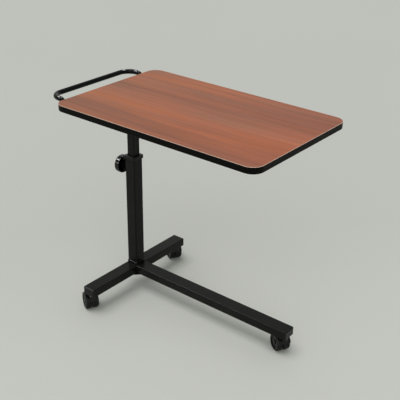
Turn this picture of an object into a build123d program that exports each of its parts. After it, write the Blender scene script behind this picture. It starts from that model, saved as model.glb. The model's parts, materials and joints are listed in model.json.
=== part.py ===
from build123d import *
import math
import os

# Overbed table: a wood-topped board that slides up and down on a square column,
# on a T-shaped base with three twin-wheel casters.
# Millimetres. The origin is on the floor under the column's axis, +X runs to the
# free end of the board and the long leg, +Z is up.

# Board
BOARD_LENGTH = 650.0
BOARD_WIDTH = 400.0
BOARD_X0 = -95.0
BOARD_TOP = 617.0
BOARD_THICK = 18.0
BOARD_CORNER = 32.0
BAND_THICK = 2.5
BAND_EDGE = 1.5
LAMINATE_THICK = 1.0
LAMINATE_BEVEL = 0.7
BACKING_THICK = 0.6

# Column
OUTER_SIDE = 35.0
OUTER_RADIUS = 3.5
OUTER_WALL = 2.0
OUTER_TOP = 422.0
INNER_SIDE = 25.0
INNER_RADIUS = 2.5
INNER_BOTTOM = 195.0
INNER_WALL = 1.5
SLIDE_FIT = 0.08
COLLAR_SIDE = 41.0
COLLAR_HEIGHT = 10.0
SLEEVE_LENGTH = 20.0
GUIDE_HEIGHT = 8.0

# Base legs
LEG_WIDTH = 40.0
LEG_HEIGHT = 25.0
LEG_BOTTOM = 57.0
LEG_WALL = 1.5
LEG_RADIUS = 1.8
CROSS_HALF = 200.4
LONG_END = 551.5
CAP_THICK = 5.0
CAP_ROUND = 3.2

# Foot of the column and the plate under the legs' joint
FOOT_SIDE = 38.0
FOOT_THICK = 3.0
BOOT_SIDE = 37.6
BOOT_TOP = 90.5
HUB_PLATE_SIDE = 61.0
HUB_PLATE_CORNER = 14.0
HUB_PLATE_THICK = 3.0

# Clamp knob
CLAMP_Z = 392.0
BOSS_RADIUS = 9.0
BOSS_LENGTH = 10.0
SCREW_RADIUS = 4.0
THREAD_FIT = 0.05
KNOB_X = -53.5
KNOB_THICK = 16.0
KNOB_RADIUS = 26.0
KNOB_FLUTES = 14
FLUTE_RADIUS = 3.4
FLUTE_DEPTH = 0.9
KNOB_RIM = 4.0
KNOB_FACE = 5.0
KNOB_RIBS = 6
NECK_RADIUS = 9.5
NECK_END = -30.0

# Handle
HANDLE_RADIUS = 7.0
HANDLE_WALL = 1.3
HANDLE_HALF = 152.0
HANDLE_BAR_X = -159.5
HANDLE_BAR_Z = 611.0
HANDLE_BEND = 36.0
CRANK_BEND = 13.5
HANDLE_START = 40.0

# Supports under the board
PLATE_SIZE = (170.0, 140.0, 4.0)
CHANNEL_END = 480.0
CHANNEL_WIDTH = 40.0
CHANNEL_HEIGHT = 12.0
CHANNEL_WALL = 2.0
SCREW_SHANK = 1.8
SCREW_DEPTH = 10.0
HOLE_GAP = 0.05

# Casters
WHEEL_RADIUS = 25.0
WHEEL_WIDTH = 16.5
TYRE_INNER = 20.5
WEB_HALF = 2.2
WEB_RADIUS = 23.0
RUNNING_GAP = 0.3
TRAIL = 24.0
STEM_INSET = 14.0
STEM_RADIUS = 5.0
STEM_FIT = 0.05
STEM_DEPTH = 20.5
SOCKET_FLANGE = 1.5
BOSS_GAP = 4.5
CASTER_BOSS_RADIUS = 8.5
CASTER_BOSS_HEIGHT = 10.0
AXLE_RADIUS = 3.0
AXLE_HALF = 16.0
HOOD_INNER = 26.6
HOOD_OUTER = 29.0
CASTER_ANGLES = {"near": 151.0, "far": 152.0, "end": 150.0}

BOARD_BOTTOM = BOARD_TOP - BOARD_THICK
BOARD_CENTRE_X = BOARD_X0 + BOARD_LENGTH / 2
LEG_TOP = LEG_BOTTOM + LEG_HEIGHT
CASTER_BOSS_TOP = LEG_BOTTOM - BOSS_GAP
PLATE_BOTTOM = BOARD_BOTTOM - PLATE_SIZE[2]
HANDLE_LEG_Z = BOARD_BOTTOM - HANDLE_RADIUS - 0.2
CASTER_SPOTS = {
    "near": (0.0, -(CROSS_HALF - STEM_INSET)),
    "far": (0.0, CROSS_HALF - STEM_INSET),
    "end": (LONG_END - STEM_INSET, 0.0),
}
BRACKET_HOLES = [(x, y) for x in (-65, 0, 65) for y in (-55, 55)]
CHANNEL_HOLES = [(x, 0) for x in (130, 290, 450)]
CLIP_STATIONS = [(x, y) for x in (-60, 10) for y in (-HANDLE_HALF, HANDLE_HALF)]
CLIP_EAR = 14.5
CLIP_HOLES = [(x, y + side * CLIP_EAR) for x, y in CLIP_STATIONS for side in (-1, 1)]


def prism(width, depth, radius, z0, z1, x=0.0, y=0.0):
    """Upright block with rounded corners, between two heights."""
    outline = RectangleRounded(width, depth, radius) if radius else Rectangle(width, depth)
    return Pos(x, y, z0) * extrude(outline, z1 - z0)


def slab(x0, x1, y0, y1, z0, z1):
    """Plain block given by its limits."""
    size = (x1 - x0, y1 - y0, z1 - z0)
    return Pos((x0 + x1) / 2, (y0 + y1) / 2, (z0 + z1) / 2) * Box(*size)


def rod(radius, start, end):
    """Cylinder between two points on a line along X, Y or Z."""
    a = Vector(*start)
    b = Vector(*end)
    face = Plane(origin=a, z_dir=b - a) * Circle(radius)
    return extrude(face, (b - a).length)


def square_tube(side, wall, radius, z0, z1):
    """Upright square tube."""
    outside = prism(side, side, radius, z0, z1)
    inside = prism(side - 2 * wall, side - 2 * wall, radius - wall, z0 - 1, z1 + 1)
    return outside - inside


def leg_tube(length):
    """Lying rectangular leg tube along +X from the origin, bottom at the leg height."""
    profile = RectangleRounded(LEG_WIDTH, LEG_HEIGHT, LEG_RADIUS)
    profile -= RectangleRounded(
        LEG_WIDTH - 2 * LEG_WALL, LEG_HEIGHT - 2 * LEG_WALL, LEG_RADIUS - LEG_WALL
    )
    start = Plane(origin=(0, 0, LEG_BOTTOM + LEG_HEIGHT / 2), x_dir=(0, 1, 0), z_dir=(1, 0, 0))
    return extrude(start * profile, length)


def leg_cap():
    """Plastic cap for a leg tube, its outer face at x = 0 and its ribs pointing to -X."""
    half = LEG_WIDTH / 2
    cap = slab(-CAP_THICK, 0, -half, half, LEG_BOTTOM, LEG_TOP)
    cap = fillet(cap.faces().sort_by(Axis.X)[-1].edges(), CAP_ROUND)
    cap = fillet(cap.edges().filter_by(Axis.X), LEG_RADIUS)
    inner = half - LEG_WALL
    for side in (-1, 1):
        edges = sorted((side * inner, side * (inner - 1.6)))
        cap += slab(-CAP_THICK - 12, -CAP_THICK, *edges, LEG_BOTTOM + 5, LEG_TOP - 5)
    return cap


def cross_leg():
    """Cross member of the base, with caster socket holes near both ends."""
    length = 2 * (CROSS_HALF - CAP_THICK)
    tube = Rot(0, 0, 90) * Pos(-length / 2, 0, 0) * leg_tube(length)
    for name in ("near", "far"):
        x, y = CASTER_SPOTS[name]
        tube -= rod(8.0, (x, y, LEG_BOTTOM - 1), (x, y, LEG_BOTTOM + 4))
    return tube


def long_leg():
    """Long leg of the base, butted against the cross member."""
    tube = Pos(LEG_WIDTH / 2, 0, 0) * leg_tube(LONG_END - CAP_THICK - LEG_WIDTH / 2)
    x, y = CASTER_SPOTS["end"]
    tube -= rod(8.0, (x, y, LEG_BOTTOM - 1), (x, y, LEG_BOTTOM + 4))
    return tube


def cross_caps():
    """End caps of the cross member."""
    cap = Pos(CROSS_HALF, 0, 0) * leg_cap()
    return [Rot(0, 0, angle) * cap for angle in (-90, 90)]


def long_cap():
    """End cap of the long leg."""
    return Pos(LONG_END, 0, 0) * leg_cap()


def stem_sockets():
    """Flanged sleeves that take the caster stems, one in each leg end."""
    sockets = []
    for x, y in CASTER_SPOTS.values():
        sleeve = rod(8.0, (x, y, LEG_BOTTOM), (x, y, LEG_TOP - LEG_WALL))
        sleeve += rod(11.0, (x, y, LEG_BOTTOM - SOCKET_FLANGE), (x, y, LEG_BOTTOM))
        top = LEG_TOP - LEG_WALL - 1.5
        sleeve -= rod(STEM_RADIUS + STEM_FIT, (x, y, LEG_BOTTOM - 2), (x, y, top))
        sockets.append(sleeve)
    return sockets


def foot_plate():
    """Plate welded between the cross member and the foot of the column."""
    return prism(FOOT_SIDE, FOOT_SIDE, 4.0, LEG_TOP, LEG_TOP + FOOT_THICK)


def column_boot():
    """Moulded ring round the foot of the column, on the foot plate."""
    ring = prism(BOOT_SIDE, BOOT_SIDE, 4.0, LEG_TOP + FOOT_THICK, BOOT_TOP)
    ring = fillet(ring.faces().sort_by(Axis.Z)[-1].edges(), 0.9)
    return ring - prism(OUTER_SIDE, OUTER_SIDE, OUTER_RADIUS, LEG_TOP, BOOT_TOP + 1)


def hub_plate():
    """Steel plate with cut corners under the joint of the legs."""
    square = Rectangle(HUB_PLATE_SIDE, HUB_PLATE_SIDE)
    outline = chamfer(square.vertices(), HUB_PLATE_CORNER)
    return Pos(0, 0, LEG_BOTTOM - HUB_PLATE_THICK) * extrude(outline, HUB_PLATE_THICK)


def outer_column():
    """Fixed square tube, with the hole for the clamp screw in its -X wall."""
    tube = square_tube(OUTER_SIDE, OUTER_WALL, OUTER_RADIUS, LEG_TOP + FOOT_THICK, OUTER_TOP)
    half = OUTER_SIDE / 2
    return tube - rod(SCREW_RADIUS + 0.4, (-half - 1, 0, CLAMP_Z), (-half + 3, 0, CLAMP_Z))


def collar():
    """Guide collar on top of the fixed tube, with a sleeve inside it."""
    ring = prism(COLLAR_SIDE, COLLAR_SIDE, 5.0, OUTER_TOP, OUTER_TOP + COLLAR_HEIGHT)
    ring = fillet(ring.faces().sort_by(Axis.Z)[-1].edges(), 2.0)
    bore_side = OUTER_SIDE - 2 * OUTER_WALL
    sleeve_radius = OUTER_RADIUS - OUTER_WALL
    ring += prism(
        bore_side, bore_side, sleeve_radius, OUTER_TOP - SLEEVE_LENGTH, OUTER_TOP
    )
    hole = INNER_SIDE + 2 * SLIDE_FIT
    low = OUTER_TOP - SLEEVE_LENGTH - 1
    high = OUTER_TOP + COLLAR_HEIGHT + 1
    return ring - prism(hole, hole, INNER_RADIUS, low, high)


def clamp_boss():
    """Threaded boss welded to the -X face of the fixed tube."""
    face = -OUTER_SIDE / 2
    start = (face - BOSS_LENGTH, 0, CLAMP_Z)
    boss = rod(BOSS_RADIUS, start, (face, 0, CLAMP_Z))
    boss = chamfer(boss.faces().sort_by(Axis.X)[0].edges(), 1.0)
    bore = rod(
        SCREW_RADIUS + THREAD_FIT, (face - BOSS_LENGTH - 1, 0, CLAMP_Z), (face + 1, 0, CLAMP_Z)
    )
    return boss - bore


def clamp_pad():
    """Pad at the screw's tip that presses on the sliding tube."""
    face = -INNER_SIDE / 2 - 0.1
    return rod(SCREW_RADIUS - 0.1, (face - 1.4, 0, CLAMP_Z), (face, 0, CLAMP_Z))


def knob_screw():
    """Threaded stud from the knob through the boss to the pad."""
    tip = -INNER_SIDE / 2 - 0.1 - 1.4 - 0.05
    stud = rod(SCREW_RADIUS, (KNOB_X + 6, 0, CLAMP_Z), (tip, 0, CLAMP_Z))
    return chamfer(stud.faces().sort_by(Axis.X)[-1].edges(), 0.5)


def knob_head():
    """Round fluted hand knob, hollow at the back, with a neck towards the column."""
    outline = Circle(KNOB_RADIUS)
    reach = KNOB_RADIUS + FLUTE_RADIUS - FLUTE_DEPTH
    for index in range(KNOB_FLUTES):
        angle = 2 * math.pi * index / KNOB_FLUTES
        outline -= Pos(reach * math.cos(angle), reach * math.sin(angle)) * Circle(FLUTE_RADIUS)
    back = KNOB_X + KNOB_THICK
    start = Plane(origin=(KNOB_X, 0, CLAMP_Z), x_dir=(0, 1, 0), z_dir=(1, 0, 0))
    head = extrude(start * outline, KNOB_THICK)
    envelope = rod(KNOB_RADIUS + 0.01, (KNOB_X, 0, CLAMP_Z), (back, 0, CLAMP_Z))
    faces = envelope.faces().sort_by(Axis.X)
    envelope = fillet(faces[0].edges(), 4.0)
    envelope = fillet(envelope.faces().sort_by(Axis.X)[-1].edges(), 1.5)
    head = head & envelope
    hollow = rod(KNOB_RADIUS - KNOB_RIM, (KNOB_X + KNOB_FACE, 0, CLAMP_Z), (back + 1, 0, CLAMP_Z))
    for index in range(KNOB_RIBS):
        rib = slab(KNOB_X + KNOB_FACE, back - 2, -0.8, 0.8, 0, KNOB_RADIUS)
        hollow -= Pos(0, 0, CLAMP_Z) * Rot(360 / KNOB_RIBS * index, 0, 0) * rib
    head -= hollow
    head += rod(NECK_RADIUS, (KNOB_X + KNOB_FACE, 0, CLAMP_Z), (NECK_END, 0, CLAMP_Z))
    head -= rod(10.0, (KNOB_X - 1, 0, CLAMP_Z), (KNOB_X + 1.5, 0, CLAMP_Z))
    return head - rod(SCREW_RADIUS, (KNOB_X + 6, 0, CLAMP_Z), (NECK_END + 1, 0, CLAMP_Z))


def knob_cap():
    """Round cap in the face of the knob."""
    cap = rod(9.9, (KNOB_X - 0.6, 0, CLAMP_Z), (KNOB_X + 1.5, 0, CLAMP_Z))
    return fillet(cap.faces().sort_by(Axis.X)[0].edges(), 0.5)


def inner_column():
    """Sliding square tube, welded to the bracket plate at its top."""
    return square_tube(INNER_SIDE, INNER_WALL, INNER_RADIUS, INNER_BOTTOM, PLATE_BOTTOM)


def bottom_guide():
    """Plastic guide plugged into the lower end of the sliding tube."""
    side = OUTER_SIDE - 2 * OUTER_WALL - 2 * SLIDE_FIT
    block = prism(side, side, 2.2, INNER_BOTTOM - GUIDE_HEIGHT, INNER_BOTTOM)
    plug_side = INNER_SIDE - 2 * INNER_WALL
    return block + prism(plug_side, plug_side, 1.0, INNER_BOTTOM, INNER_BOTTOM + 15)


def screw_holes(spots, z0, z1, radius=SCREW_SHANK + HOLE_GAP):
    """Round cutters for wood screws."""
    return [rod(radius, (x, y, z0), (x, y, z1)) for x, y in spots]


def wood_screws(spots, seat):
    """Pan-headed wood screws driven up into the board from a seat height."""
    screws = []
    for x, y in spots:
        screw = rod(SCREW_SHANK, (x, y, seat), (x, y, BOARD_BOTTOM + SCREW_DEPTH))
        head = rod(3.6, (x, y, seat - 2.2), (x, y, seat))
        screw += fillet(head.faces().sort_by(Axis.Z)[0].edges(), 1.0)
        screw -= slab(x - 2.4, x + 2.4, y - 0.4, y + 0.4, seat - 3, seat - 1.2)
        screw -= slab(x - 0.4, x + 0.4, y - 2.4, y + 2.4, seat - 3, seat - 1.2)
        screws.append(screw)
    return screws


def bracket_plate():
    """Plate on top of the sliding tube, screwed under the board."""
    width, depth, _ = PLATE_SIZE
    plate = prism(width, depth, 10.0, PLATE_BOTTOM, BOARD_BOTTOM)
    for hole in screw_holes(BRACKET_HOLES, PLATE_BOTTOM - 1, BOARD_BOTTOM + 1):
        plate -= hole
    return plate


def bracket_gussets():
    """Four triangular stiffeners between the sliding tube and the plate."""
    reach = 36.0
    half = INNER_SIDE / 2
    gussets = []
    for index in range(4):
        corners = [(half, 0), (half + reach, 0), (half + reach, -6), (half + 6, -reach), (half, -reach)]
        face = make_face(Polyline(*corners, close=True))
        start = Plane(origin=(0, 1.5, PLATE_BOTTOM), x_dir=(1, 0, 0), z_dir=(0, -1, 0))
        gussets.append(Rot(0, 0, 90 * index) * extrude(start * face, 3.0))
    return gussets


def support_channel():
    """Channel that carries the board's overhanging end."""
    x0 = PLATE_SIZE[0] / 2
    half = CHANNEL_WIDTH / 2
    low = BOARD_BOTTOM - CHANNEL_HEIGHT
    rail = slab(x0, CHANNEL_END, -half, half, low, BOARD_BOTTOM)
    rail -= slab(
        x0 - 1, CHANNEL_END + 1, -half + CHANNEL_WALL, half - CHANNEL_WALL,
        low - 1, BOARD_BOTTOM - CHANNEL_WALL,
    )
    for hole in screw_holes(CHANNEL_HOLES, low, BOARD_BOTTOM + 1):
        rail -= hole
    return rail


def board_layer(z0, z1, inset):
    """Flat sheet with the board's rounded outline, inset all round."""
    return prism(
        BOARD_LENGTH - 2 * inset, BOARD_WIDTH - 2 * inset, BOARD_CORNER - inset,
        z0, z1, BOARD_CENTRE_X,
    )


def drilled(layer):
    """A board layer with the pilot holes of every wood screw."""
    spots = BRACKET_HOLES + CHANNEL_HOLES + CLIP_HOLES
    top = BOARD_BOTTOM + SCREW_DEPTH + 0.5
    for hole in screw_holes(spots, BOARD_BOTTOM - 1, top):
        layer -= hole
    return layer


def board_core():
    """Particle-board core."""
    low = BOARD_BOTTOM + BACKING_THICK
    return drilled(board_layer(low, BOARD_TOP - LAMINATE_THICK, BAND_THICK))


def backing_sheet():
    """Thin sheet under the core."""
    return drilled(board_layer(BOARD_BOTTOM, BOARD_BOTTOM + BACKING_THICK, BAND_THICK))


def top_laminate():
    """Wood-patterned sheet over the core and the edging, with a bevelled upper edge."""
    sheet = board_layer(BOARD_TOP - LAMINATE_THICK, BOARD_TOP, 0.0)
    return chamfer(sheet.faces().sort_by(Axis.Z)[-1].edges(), LAMINATE_BEVEL)


def edge_band():
    """Edging strip all round the core, under the laminate's lip."""
    band = board_layer(BOARD_BOTTOM, BOARD_TOP - LAMINATE_THICK, 0.0)
    band = fillet(band.faces().sort_by(Axis.Z)[0].edges(), BAND_EDGE)
    return band - board_layer(BOARD_BOTTOM - 1, BOARD_TOP, BAND_THICK)


def bent_path(points, radii):
    """Wire through the points, each inner corner rounded to its radius."""
    vectors = [Vector(*p) for p in points]
    edges = []
    cursor = vectors[0]
    for before, corner, after, radius in zip(vectors, vectors[1:], vectors[2:], radii):
        back = (before - corner).normalized()
        ahead = (after - corner).normalized()
        half_angle = math.acos(max(-1.0, min(1.0, back.dot(ahead)))) / 2
        setback = radius / math.tan(half_angle)
        start = corner + back * setback
        end = corner + ahead * setback
        inward = (back + ahead).normalized()
        middle = corner + inward * (radius / math.sin(half_angle) - radius)
        edges.append(Line(cursor, start))
        edges.append(ThreePointArc(start, middle, end))
        cursor = end
    edges.append(Line(cursor, vectors[-1]))
    return Wire([edge.edge() for edge in edges])


def handle_path():
    """Centreline of the handle: two legs under the board, cranked up to a bar."""
    a = HANDLE_HALF
    low = HANDLE_LEG_Z
    high = HANDLE_BAR_Z
    bar = HANDLE_BAR_X
    side = [(HANDLE_START, low), (BOARD_X0 - 9.0, low), (BOARD_X0 - 16.5, high), (bar, high)]
    points = [(x, -a, z) for x, z in side] + [(x, a, z) for x, z in reversed(side)]
    radii = [CRANK_BEND, CRANK_BEND, HANDLE_BEND, HANDLE_BEND, CRANK_BEND, CRANK_BEND]
    return bent_path(points, radii)


def handle_tube():
    """Bent tube of the handle."""
    path = handle_path()
    start = Plane(origin=path @ 0, z_dir=path % 0)
    inner = HANDLE_RADIUS - HANDLE_WALL
    outside = sweep(start * Circle(HANDLE_RADIUS), path)
    return outside - sweep(start * Circle(inner), path)


def handle_plugs():
    """Plugs in the open ends of the handle tube."""
    plugs = []
    for y in (-HANDLE_HALF, HANDLE_HALF):
        end = (HANDLE_START, y, HANDLE_LEG_Z)
        plug = rod(HANDLE_RADIUS - HANDLE_WALL, (HANDLE_START - 12, y, HANDLE_LEG_Z), end)
        plug += rod(HANDLE_RADIUS, end, (HANDLE_START + 2, y, HANDLE_LEG_Z))
        plugs.append(plug)
    return plugs


def handle_clips():
    """Saddle clips that hold the handle's legs under the board."""
    clips = []
    half = 7.0
    for x, y in CLIP_STATIONS:
        z = HANDLE_LEG_Z
        outer = HANDLE_RADIUS + 1.3
        inner = HANDLE_RADIUS
        clip = rod(outer, (x - half, y, z), (x + half, y, z))
        clip += slab(x - half, x + half, y - outer, y + outer, z, BOARD_BOTTOM)
        ear = CLIP_EAR + 5.5
        clip += slab(x - half, x + half, y - ear, y + ear, BOARD_BOTTOM - 1.3, BOARD_BOTTOM)
        clip -= rod(inner, (x - half - 1, y, z), (x + half + 1, y, z))
        clip -= slab(x - half - 1, x + half + 1, y - inner, y + inner, z, BOARD_BOTTOM + 1)
        clip -= slab(x - half - 1, x + half + 1, y - ear, y + ear, BOARD_BOTTOM, BOARD_BOTTOM + 3)
        for side in (-1, 1):
            spot = [(x, y + side * CLIP_EAR)]
            clip -= screw_holes(spot, BOARD_BOTTOM - 4, BOARD_BOTTOM + 1)[0]
        clips.append(clip)
    return clips


def placed(shape, name):
    """A caster piece turned and moved from its own frame to its leg end."""
    x, y = CASTER_SPOTS[name]
    return Pos(x, y, 0) * Rot(0, 0, CASTER_ANGLES[name]) * shape


def caster_stem():
    """Stem and thrust collar of a caster, on the swivel axis."""
    stem = rod(STEM_RADIUS, (0, 0, CASTER_BOSS_TOP), (0, 0, LEG_BOTTOM + STEM_DEPTH))
    stem = chamfer(stem.faces().sort_by(Axis.Z)[-1].edges(), 1.0)
    collar_top = LEG_BOTTOM - SOCKET_FLANGE - RUNNING_GAP
    return stem + rod(CASTER_BOSS_RADIUS, (0, 0, CASTER_BOSS_TOP), (0, 0, collar_top))


def caster_body():
    """Body between the wheels, with the stem boss and a hood over the wheels' front."""
    centre = (TRAIL, 0, WHEEL_RADIUS)
    width = WEB_HALF + WHEEL_WIDTH - 1.0
    hood = Pos(*centre) * Rot(90, 0, 0) * Cylinder(HOOD_OUTER, 2 * width)
    hood -= Pos(*centre) * Rot(90, 0, 0) * Cylinder(HOOD_INNER, 2 * width + 2)
    hood = hood & slab(-10, TRAIL - 4, -width, width, WHEEL_RADIUS + 8, CASTER_BOSS_TOP + 3)
    web = Pos(*centre) * Rot(90, 0, 0) * Cylinder(HOOD_OUTER, 2 * WEB_HALF)
    web = web & slab(-10, TRAIL - 4, -WEB_HALF, WEB_HALF, WHEEL_RADIUS - 6, CASTER_BOSS_TOP + 3)
    web += Pos(*centre) * Rot(90, 0, 0) * Cylinder(WEB_RADIUS, 2 * WEB_HALF)
    boss_bottom = CASTER_BOSS_TOP - CASTER_BOSS_HEIGHT
    boss = rod(CASTER_BOSS_RADIUS, (0, 0, boss_bottom), (0, 0, CASTER_BOSS_TOP))
    boss -= Pos(*centre) * Rot(90, 0, 0) * Cylinder(HOOD_INNER, 2 * width + 2)
    body = hood + web + boss
    return body - Pos(*centre) * Rot(90, 0, 0) * Cylinder(AXLE_RADIUS, 4 * width)


def caster_axle():
    """Axle pin through the body, into both wheels."""
    return rod(AXLE_RADIUS, (TRAIL, -AXLE_HALF, WHEEL_RADIUS), (TRAIL, AXLE_HALF, WHEEL_RADIUS))


def wheel_span(side):
    """Inner and outer faces of the wheel on one side of the body."""
    inner = WEB_HALF + RUNNING_GAP
    return side * inner, side * (inner + WHEEL_WIDTH)


def caster_tyre(side):
    """Tread ring of one wheel."""
    y0, y1 = wheel_span(side)
    tyre = rod(WHEEL_RADIUS, (TRAIL, y0, WHEEL_RADIUS), (TRAIL, y1, WHEEL_RADIUS))
    faces = tyre.faces().sort_by(Axis.Y)
    outer = faces[-1] if side > 0 else faces[0]
    tyre = fillet(outer.edges(), 3.5)
    faces = tyre.faces().filter_by(GeomType.PLANE).sort_by(Axis.Y)
    inner = faces[0] if side > 0 else faces[-1]
    tyre = fillet(inner.edges(), 1.0)
    return tyre - rod(TYRE_INNER, (TRAIL, y0 - side, WHEEL_RADIUS), (TRAIL, y1 + side, WHEEL_RADIUS))


def caster_wheel(side):
    """Wheel centre with a dished outer face, a hub and a blind axle bore."""
    y0, y1 = wheel_span(side)
    z = WHEEL_RADIUS
    wheel = rod(TYRE_INNER, (TRAIL, y0, z), (TRAIL, y1, z))
    dish = rod(17.5, (TRAIL, y1 - side * 2.2, z), (TRAIL, y1 + side, z))
    dish -= rod(7.0, (TRAIL, y1 - side * 3, z), (TRAIL, y1 + side * 2, z))
    wheel -= dish
    bore_end = side * (AXLE_HALF + RUNNING_GAP)
    return wheel - rod(AXLE_RADIUS + STEM_FIT, (TRAIL, y0 - side, z), (TRAIL, bore_end, z))


def single_nodes():
    """Every part of the base, the column, the clamp and the board."""
    return {
        "cross_leg": cross_leg(),
        "long_leg": long_leg(),
        "cross_caps": cross_caps(),
        "long_cap": long_cap(),
        "stem_sockets": stem_sockets(),
        "foot_plate": foot_plate(),
        "column_boot": column_boot(),
        "hub_plate": hub_plate(),
        "outer_column": outer_column(),
        "collar": collar(),
        "clamp_boss": clamp_boss(),
        "clamp_pad": clamp_pad(),
        "knob_screw": knob_screw(),
        "knob_head": knob_head(),
        "knob_cap": knob_cap(),
        "inner_column": inner_column(),
        "bottom_guide": bottom_guide(),
        "bracket_plate": bracket_plate(),
        "bracket_gussets": bracket_gussets(),
        "bracket_screws": wood_screws(BRACKET_HOLES, PLATE_BOTTOM),
        "support_channel": support_channel(),
        "channel_screws": wood_screws(CHANNEL_HOLES, BOARD_BOTTOM - CHANNEL_WALL),
        "board_core": board_core(),
        "backing_sheet": backing_sheet(),
        "top_laminate": top_laminate(),
        "edge_band": edge_band(),
        "handle_tube": handle_tube(),
        "handle_plugs": handle_plugs(),
        "handle_clips": handle_clips(),
        "clip_screws": wood_screws(CLIP_HOLES, BOARD_BOTTOM - 1.3),
    }


def caster_nodes(name):
    """Every part of one caster."""
    nodes = {
        f"stem_{name}": caster_stem(),
        f"body_{name}": caster_body(),
        f"axle_{name}": caster_axle(),
    }
    for letter, side in (("a", 1), ("b", -1)):
        nodes[f"tyre_{name}_{letter}"] = caster_tyre(side)
        nodes[f"wheel_{name}_{letter}"] = caster_wheel(side)
    return {key: placed(shape, name) for key, shape in nodes.items()}


def export_node(name, shape):
    """Write one node, a single solid or a group of separate solids."""
    pieces = shape if isinstance(shape, list) else [shape]
    solids = [solid for piece in pieces for solid in piece.solids()]
    node = solids[0] if len(solids) == 1 else Compound(children=solids)
    export_step(node, f"parts/{name}.step")


os.makedirs("parts", exist_ok=True)
all_nodes = single_nodes()
for caster in CASTER_SPOTS:
    all_nodes.update(caster_nodes(caster))
for node_name, node_shape in all_nodes.items():
    export_node(node_name, node_shape)
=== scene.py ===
import json
import math

import bpy
from mathutils import Matrix, Vector


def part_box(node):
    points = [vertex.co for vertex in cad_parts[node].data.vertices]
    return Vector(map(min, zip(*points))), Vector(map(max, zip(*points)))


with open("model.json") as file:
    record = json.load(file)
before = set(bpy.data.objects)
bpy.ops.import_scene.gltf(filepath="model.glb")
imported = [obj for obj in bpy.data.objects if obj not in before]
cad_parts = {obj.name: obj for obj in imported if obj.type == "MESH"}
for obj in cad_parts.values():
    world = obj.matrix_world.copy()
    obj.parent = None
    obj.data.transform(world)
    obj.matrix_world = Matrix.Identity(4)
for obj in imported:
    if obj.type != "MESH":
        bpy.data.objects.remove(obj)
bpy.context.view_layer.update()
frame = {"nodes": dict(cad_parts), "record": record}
nodes = frame["nodes"]
scene = bpy.context.scene

# ---------------------------------------------------------------- camera
# Fitted view. The place is in metres, the lens and sensor in millimetres and the angles in degrees:
# azimuth from -Y towards +X, elevation up from the floor, and roll about the line of sight.
CAMERA_PLACE = Vector((1.4554, -1.5257, 1.3395))
CAMERA_AZIMUTH = 38.4886
CAMERA_ELEVATION = 26.5287
CAMERA_ROLL = 0.8193
CAMERA_LENS = 72.66
SENSOR_WIDTH = 36.0
VIEW_DEPTH = 100.0


def make_camera():
    """Camera at the fitted place and direction."""
    data = bpy.data.cameras.new("camera")
    data.lens = CAMERA_LENS
    data.sensor_width = SENSOR_WIDTH
    data.clip_end = VIEW_DEPTH
    camera = bpy.data.objects.new("camera", data)
    scene.collection.objects.link(camera)
    turn = Matrix.Rotation(math.radians(CAMERA_AZIMUTH), 4, "Z")
    turn @= Matrix.Rotation(math.radians(90.0 - CAMERA_ELEVATION), 4, "X")
    turn @= Matrix.Rotation(math.radians(CAMERA_ROLL), 4, "Z")
    camera.matrix_world = Matrix.Translation(CAMERA_PLACE) @ turn
    scene.camera = camera


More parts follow.
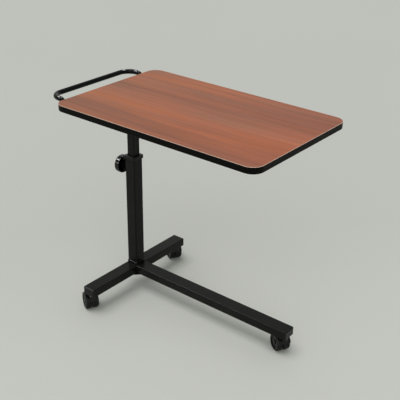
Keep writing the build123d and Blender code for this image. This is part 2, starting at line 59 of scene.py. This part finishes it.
# ---------------------------------------------------------------- node helpers
class Graph:
    """Short calls for building one material's nodes."""

    def __init__(self, name):
        self.material = bpy.data.materials.new(name)
        self.material.use_nodes = True
        self.nodes = self.material.node_tree.nodes
        self.links = self.material.node_tree.links
        self.shader = self.nodes["Principled BSDF"]
        coordinates = self.nodes.new("ShaderNodeTexCoord")
        self.place = coordinates.outputs["Object"]

    def link(self, source, target):
        self.links.new(source, target)

    def set(self, **values):
        """Constant numbers on the shader's own sockets."""
        for key, value in values.items():
            self.shader.inputs[key.replace("_", " ")].default_value = value

    def scaled(self, sizes, offset=(0, 0, 0), source=None):
        """Coordinates multiplied by sizes."""
        node = self.nodes.new("ShaderNodeMapping")
        node.inputs["Scale"].default_value = sizes
        node.inputs["Location"].default_value = offset
        self.link(source or self.place, node.inputs["Vector"])
        return node.outputs["Vector"]

    def axes(self):
        """X, Y and Z of the object's own coordinates."""
        node = self.nodes.new("ShaderNodeSeparateXYZ")
        self.link(self.place, node.inputs["Vector"])
        return node.outputs

    def noise(self, vector, detail, rough):
        """Noise of one wave per unit of the vector given."""
        node = self.nodes.new("ShaderNodeTexNoise")
        node.inputs["Scale"].default_value = 1.0
        node.inputs["Detail"].default_value = detail
        node.inputs["Roughness"].default_value = rough
        self.link(vector, node.inputs["Vector"])
        return node.outputs["Fac"]

    def cells(self, vector):
        """Distance from the middle of the nearest cell, one cell per unit of the vector given."""
        node = self.nodes.new("ShaderNodeTexVoronoi")
        node.inputs["Scale"].default_value = 1.0
        self.link(vector, node.inputs["Vector"])
        return node.outputs["Distance"]

    def ramp(self, fac, stops):
        """Colour ramp; stops are (position, (r, g, b)) or (position, grey)."""
        node = self.nodes.new("ShaderNodeValToRGB")
        band = node.color_ramp
        while len(band.elements) < len(stops):
            band.elements.new(0.5)
        for element, (position, colour) in zip(band.elements, stops):
            if isinstance(colour, (int, float)):
                colour = (colour, colour, colour)
            element.position = position
            element.color = (*colour, 1.0)
        self.link(fac, node.inputs["Fac"])
        return node.outputs["Color"]

    def math(self, operation, a, b, clamp=False):
        node = self.nodes.new("ShaderNodeMath")
        node.operation = operation
        node.use_clamp = clamp
        for socket, value in zip(node.inputs, (a, b)):
            if isinstance(value, (int, float)):
                socket.default_value = value
            else:
                self.link(value, socket)
        return node.outputs[0]

    def mix(self, fac, a, b, blend="MIX"):
        node = self.nodes.new("ShaderNodeMix")
        node.data_type = "RGBA"
        node.blend_type = blend
        for key, value in (("Factor", fac), ("A", a), ("B", b)):
            socket = [s for s in node.inputs if s.name == key and s.enabled][0]
            if isinstance(value, (int, float)):
                socket.default_value = value
            elif isinstance(value, tuple):
                socket.default_value = (*value, 1.0)
            else:
                self.link(value, socket)
        return [s for s in node.outputs if s.enabled][0]

    def bump(self, height, strength, distance):
        node = self.nodes.new("ShaderNodeBump")
        node.inputs["Strength"].default_value = strength
        node.inputs["Distance"].default_value = distance
        self.link(height, node.inputs["Height"])
        self.link(node.outputs["Normal"], self.shader.inputs["Normal"])

    def colour(self, socket):
        self.link(socket, self.shader.inputs["Base Color"])

    def rough(self, socket):
        self.link(socket, self.shader.inputs["Roughness"])


def srgb(r, g, b):
    """0-255 display colour to linear."""
    out = []
    for value in (r, g, b):
        value /= 255.0
        out.append(value / 12.92 if value <= 0.04045 else ((value + 0.055) / 1.055) ** 2.4)
    return tuple(out)


# ---------------------------------------------------------------- materials
# The wood's cut edge starts just under the laminate's top and is full after the lip's depth. Its
# pale colour is partly the edge's own paler tone and partly a painted highlight along the lip.
BOARD_LOW, BOARD_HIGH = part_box("top_laminate")
LIP_START = BOARD_HIGH[2] - 0.00002
LIP_DEPTH = 0.0002
LIP_EDGE_AND_HIGHLIGHT_COLOUR = srgb(238, 210, 192)
# Place of the broad bands in their noise, across the grain.
WOOD_SHIFT = 5.3
WOOD_BANDS = [
    (0.28, srgb(138, 86, 64)), (0.43, srgb(160, 96, 68)),
    (0.57, srgb(178, 104, 70)), (0.72, srgb(188, 113, 78)),
]
WOOD_TINTS = [(0.30, srgb(170, 192, 202)), (0.50, srgb(188, 188, 188)), (0.70, srgb(204, 194, 160))]
# Painted sheen: a slow drift of hue, lighter and bluer at the handle's end of the board and fading
# towards its free end.
WOOD_SHEEN_DRIFT = [(0.0, (0.50, 0.532, 0.565)), (1.0, (0.50, 0.460, 0.487))]
GRAIN_WANDER = 0.035


def wood_laminate():
    """Reddish-brown wood-patterned laminate with the grain along X, a painted sheen lighter towards
    the handle's end, and a paler cut edge whose colour also paints the highlight along the lip.
    """
    g = Graph("wood_laminate")
    drift = g.noise(g.scaled((1.2, 3.0, 1.0)), 2.0, 0.5)
    warp = g.nodes.new("ShaderNodeCombineXYZ")
    g.link(g.math("MULTIPLY", g.math("SUBTRACT", drift, 0.5), GRAIN_WANDER), warp.inputs["Y"])
    add = g.nodes.new("ShaderNodeVectorMath")
    add.operation = "ADD"
    g.link(g.place, add.inputs[0])
    g.link(warp.outputs["Vector"], add.inputs[1])
    flow = add.outputs["Vector"]
    broad = g.noise(g.scaled((0.7, 9.0, 1.0), (0.4, WOOD_SHIFT, 0), flow), 3.0, 0.55)
    hue = g.noise(g.scaled((2.4, 21.0, 1.0), (2.1, 1.7, 0), flow), 2.0, 0.5)
    streak = g.noise(g.scaled((2.2, 85.0, 1.0), (3, 7, 0), flow), 4.0, 0.55)
    fine = g.noise(g.scaled((8.0, 420.0, 1.0), (9, 2, 0), flow), 3.0, 0.6)
    pore = g.noise(g.scaled((45.0, 1400.0, 1.0), (1, 4, 0), flow), 2.0, 0.5)
    tinted = g.mix(0.70, g.ramp(broad, WOOD_BANDS), g.ramp(hue, WOOD_TINTS), "OVERLAY")
    axes = g.axes()
    along = g.math("SUBTRACT", axes["X"], BOARD_LOW[0])
    share = g.math("DIVIDE", along, BOARD_HIGH[0] - BOARD_LOW[0])
    # Painted sheen overlaid along X, strongest at the handle's end of the board.
    sheened = g.mix(1.0, tinted, g.ramp(share, WOOD_SHEEN_DRIFT), "OVERLAY")
    streaks = g.ramp(streak, [(0.30, 0.34), (0.50, 0.50), (0.72, 0.62)])
    toned = g.mix(0.45, sheened, streaks, "OVERLAY")
    lined = g.mix(0.30, toned, g.ramp(fine, [(0.32, 0.70), (0.55, 1.0)]), "MULTIPLY")
    pored = g.mix(0.30, lined, g.ramp(pore, [(0.30, 0.50), (0.38, 1.0)]), "MULTIPLY")
    # Painted highlight: the top lip is coloured pale, partly the cut edge's own tone and partly the
    # highlight it catches.
    lip_highlight_share = g.math("DIVIDE", g.math("SUBTRACT", LIP_START, axes["Z"]), LIP_DEPTH, clamp=True)
    lip_edge_and_highlight = g.mix(0.15, LIP_EDGE_AND_HIGHLIGHT_COLOUR, pored)
    g.colour(g.mix(lip_highlight_share, pored, lip_edge_and_highlight))
    g.rough(g.ramp(fine, [(0.3, 0.50), (0.7, 0.40)]))
    g.set(Specular_IOR_Level=0.30)
    g.bump(g.math("ADD", pore, fine), 0.15, 0.0002)
    return g.material


def speckled_black(name, colour, low, high, specular, grain, bump):
    """Near-black finish whose tone and roughness wander a little."""
    g = Graph(name)
    cloud = g.noise(g.scaled((9.0, 9.0, 9.0)), 3.0, 0.6)
    speck = g.noise(g.scaled((grain, grain, grain)), 2.0, 0.5)
    dark = tuple(c * 0.75 for c in colour)
    light = tuple(c * 1.25 for c in colour)
    base = g.ramp(cloud, [(0.3, dark), (0.7, light)])
    speckle = g.ramp(speck, [(0.35, 0.82), (0.65, 1.0)])
    g.colour(g.mix(0.8, base, speckle, "MULTIPLY"))
    g.rough(g.ramp(cloud, [(0.3, low), (0.7, high)]))
    g.set(Specular_IOR_Level=specular)
    g.bump(speck, bump, 0.0002)
    return g.material


def zinc_steel():
    """Zinc-plated steel with faint turning marks and clouding."""
    g = Graph("bare_steel")
    cloud = g.noise(g.scaled((120.0, 120.0, 120.0)), 3.0, 0.6)
    marks = g.noise(g.scaled((300.0, 300.0, 2600.0)), 2.0, 0.5)
    g.colour(g.ramp(cloud, [(0.3, (0.33, 0.33, 0.34)), (0.7, (0.55, 0.55, 0.54))]))
    g.rough(g.ramp(marks, [(0.3, 0.28), (0.7, 0.45)]))
    g.set(Metallic=1.0)
    g.bump(marks, 0.15, 0.0001)
    return g.material


def particle_board():
    """Raw particle board: light chips in a darker binder."""
    g = Graph("core_board")
    chips = g.cells(g.scaled((260.0, 420.0, 300.0)))
    tint = g.noise(g.scaled((90.0, 130.0, 110.0)), 3.0, 0.6)
    base = g.ramp(tint, [(0.3, srgb(158, 126, 88)), (0.7, srgb(196, 166, 122))])
    g.colour(g.mix(0.5, base, g.ramp(chips, [(0.1, 1.0), (0.7, 0.55)]), "MULTIPLY"))
    g.rough(g.ramp(tint, [(0.3, 0.8), (0.7, 0.95)]))
    g.bump(chips, 0.3, 0.0005)
    return g.material


def backing_laminate():
    """Plain grey-brown backing laminate under the board, finely mottled."""
    g = Graph("backing")
    mottle = g.noise(g.scaled((60.0, 60.0, 60.0)), 4.0, 0.6)
    grit = g.noise(g.scaled((900.0, 900.0, 900.0)), 2.0, 0.5)
    base = g.ramp(mottle, [(0.3, srgb(150, 143, 132)), (0.7, srgb(166, 160, 149))])
    g.colour(g.mix(0.4, base, g.ramp(grit, [(0.3, 0.85), (0.6, 1.0)]), "MULTIPLY"))
    g.rough(g.ramp(mottle, [(0.3, 0.55), (0.7, 0.68)]))
    g.bump(grit, 0.15, 0.0002)
    return g.material


def nylon():
    """Natural nylon of the clamp pad."""
    g = Graph("pad_plastic")
    cloud = g.noise(g.scaled((200.0, 200.0, 200.0)), 3.0, 0.5)
    g.colour(g.ramp(cloud, [(0.3, srgb(206, 200, 184)), (0.7, srgb(218, 213, 199))]))
    g.rough(g.ramp(cloud, [(0.3, 0.45), (0.7, 0.55)]))
    g.set(Subsurface_Weight=0.1)
    g.bump(cloud, 0.1, 0.0002)
    return g.material


# Near-black finishes: colour, lowest and highest roughness, specular level, specks per metre and
# bump strength.
BLACK_FINISHES = {
    "coated_steel": ((0.0070, 0.0069, 0.0068), 0.20, 0.28, 0.10, 1400.0, 0.10),
    "handle_finish": ((0.0022, 0.0022, 0.0022), 0.09, 0.13, 0.12, 500.0, 0.02),
    "black_plastic": ((0.0048, 0.0048, 0.0048), 0.26, 0.36, 0.18, 1100.0, 0.20),
    "gloss_plastic": ((0.0022, 0.0022, 0.0023), 0.09, 0.13, 0.30, 400.0, 0.02),
    "edge_plastic": ((0.0018, 0.0017, 0.0016), 0.35, 0.45, 0.07, 900.0, 0.10),
    "caster_plastic": ((0.0042, 0.0042, 0.0044), 0.20, 0.28, 0.28, 900.0, 0.10),
    "wheel_plastic": ((0.0048, 0.0048, 0.0050), 0.30, 0.40, 0.25, 900.0, 0.15),
    "tread_rubber": ((0.0062, 0.0062, 0.0063), 0.50, 0.62, 0.20, 1200.0, 0.25),
}

MATERIALS = {name: speckled_black(name, *finish) for name, finish in BLACK_FINISHES.items()}
MATERIALS.update({
    "bare_steel": zinc_steel(),
    "core_board": particle_board(),
    "backing": backing_laminate(),
    "pad_plastic": nylon(),
    "wood_laminate": wood_laminate(),
})


def dress_nodes():
    """Every CAD node takes its slot's material."""
    for part in frame["record"]["subparts"]:
        mesh = nodes[part["node"]].data
        mesh.materials.clear()
        mesh.materials.append(MATERIALS[part["material_slot"]])


# ---------------------------------------------------------------- stage
FLOOR_COLOUR = srgb(217, 219, 213)
# Painted light falloff: the floor's tone towards -X and +Y, as a share of its colour towards +X and
# -Y, so the floor is painted darker away from the camera's side.
FLOOR_LIGHT_FALLOFF = 0.925
FLOOR_HALF = 60.0


def make_floor():
    """Pale floor under the object, with painted light falloff that makes it darker towards -X and
    +Y.
    """
    mesh = bpy.data.meshes.new("floor")
    corners = [(x * FLOOR_HALF, y * FLOOR_HALF, 0) for x, y in ((-1, -1), (1, -1), (1, 1), (-1, 1))]
    mesh.from_pydata(corners, [], [(0, 1, 2, 3)])
    floor = bpy.data.objects.new("floor", mesh)
    scene.collection.objects.link(floor)
    g = Graph("floor_paint")
    cloud = g.noise(g.scaled((0.8, 0.8, 0.8)), 3.0, 0.5)
    axes = g.axes()
    # Painted light falloff: brighter towards +X and -Y, on the camera's side.
    nearness = g.math("SUBTRACT", axes["X"], axes["Y"])
    far_falloff_tone = tuple(c * FLOOR_LIGHT_FALLOFF for c in FLOOR_COLOUR)
    falloff_tone = g.ramp(g.math("ADD", nearness, 0.5), [(0.0, far_falloff_tone), (1.0, FLOOR_COLOUR)])
    g.colour(g.mix(1.0, falloff_tone, g.ramp(cloud, [(0.3, 0.985), (0.7, 1.0)]), "MULTIPLY"))
    g.set(Roughness=0.9, Specular_IOR_Level=0.1)
    mesh.materials.append(g.material)


WORLD_TINT = (0.985, 1.0, 0.955)
# Brightness at the horizon and straight up.
WORLD_LEVELS = ((0.0, 0.62), (1.0, 0.25))


def sun_light(name, towards, angle, power):
    """Even light from a direction; angle is its apparent width in degrees."""
    data = bpy.data.lights.new(name, "SUN")
    data.angle = math.radians(angle)
    data.energy = power
    light = bpy.data.objects.new(name, data)
    light.rotation_euler = Vector(towards).to_track_quat("Z", "Y").to_euler()
    scene.collection.objects.link(light)
    return light


def make_world():
    """Pale surroundings, brighter low down than overhead as in a room with pale walls."""
    world = bpy.data.worlds.new("world")
    world.use_nodes = True
    tree = world.node_tree
    direction = tree.nodes.new("ShaderNodeTexCoord")
    parts = tree.nodes.new("ShaderNodeSeparateXYZ")
    band = tree.nodes.new("ShaderNodeValToRGB")
    tree.links.new(direction.outputs["Generated"], parts.inputs["Vector"])
    tree.links.new(parts.outputs["Z"], band.inputs["Fac"])
    tree.links.new(band.outputs["Color"], tree.nodes["Background"].inputs["Color"])
    for element, (height, level) in zip(band.color_ramp.elements, WORLD_LEVELS):
        element.position = height
        element.color = (*(level * c for c in WORLD_TINT), 1.0)
    scene.world = world


# Suns: name, direction towards it, apparent width in degrees and power.
BROAD_LIGHTS = (
    ("top", (-0.13, -0.22, 1.0), 38.0, 1.04),
    ("back", (-0.62, 0.78, 0.75), 70.0, 0.12),
    ("front", (0.45, -0.75, 0.62), 60.0, 0.55),
)
GLOSSY_SLOTS = ("handle_finish", "gloss_plastic")
DARK_SLOTS = GLOSSY_SLOTS + ("coated_steel", "black_plastic")
# Narrow suns, with the material slots that each one lights.
SPARKS = (
    ("spark_left", (-0.56, -0.45, 0.70), 14.0, 2.0, DARK_SLOTS),
    ("spark_back", (-0.25, 0.49, 0.83), 10.0, 3.0, GLOSSY_SLOTS),
    ("spark_over", (-0.66, 0.12, 0.74), 20.0, 3.0, ("handle_finish",)),
)


def shaded_by_base(light):
    """Let every body but the sliding upper one cast shadows in a light."""
    casters = bpy.data.collections.new(light.name + "_casters")
    for body, members in frame["record"]["behaviour"]["bodies"].items():
        if body == "upper":
            continue
        for name in members:
            casters.objects.link(nodes[name])
    light.light_linking.blocker_collection = casters


def seen_by_slots(light, slots):
    """Keep a light to the parts in some material slots, where it makes small highlights."""
    receivers = bpy.data.collections.new(light.name + "_receivers")
    for part in frame["record"]["subparts"]:
        if part["material_slot"] in slots:
            receivers.objects.link(nodes[part["node"]])
    light.light_linking.receiver_collection = receivers


def make_lights():
    """Broad soft light all round, and narrow ones for the highlights on bends and rims."""
    for name, towards, angle, power in BROAD_LIGHTS:
        light = sun_light(name, towards, angle, power)
        if name == "top":
            shaded_by_base(light)
    for name, towards, angle, power, slots in SPARKS:
        seen_by_slots(sun_light(name, towards, angle, power), slots)


scene.view_settings.view_transform = "Standard"
make_camera()
dress_nodes()
make_floor()
make_world()
make_lights()
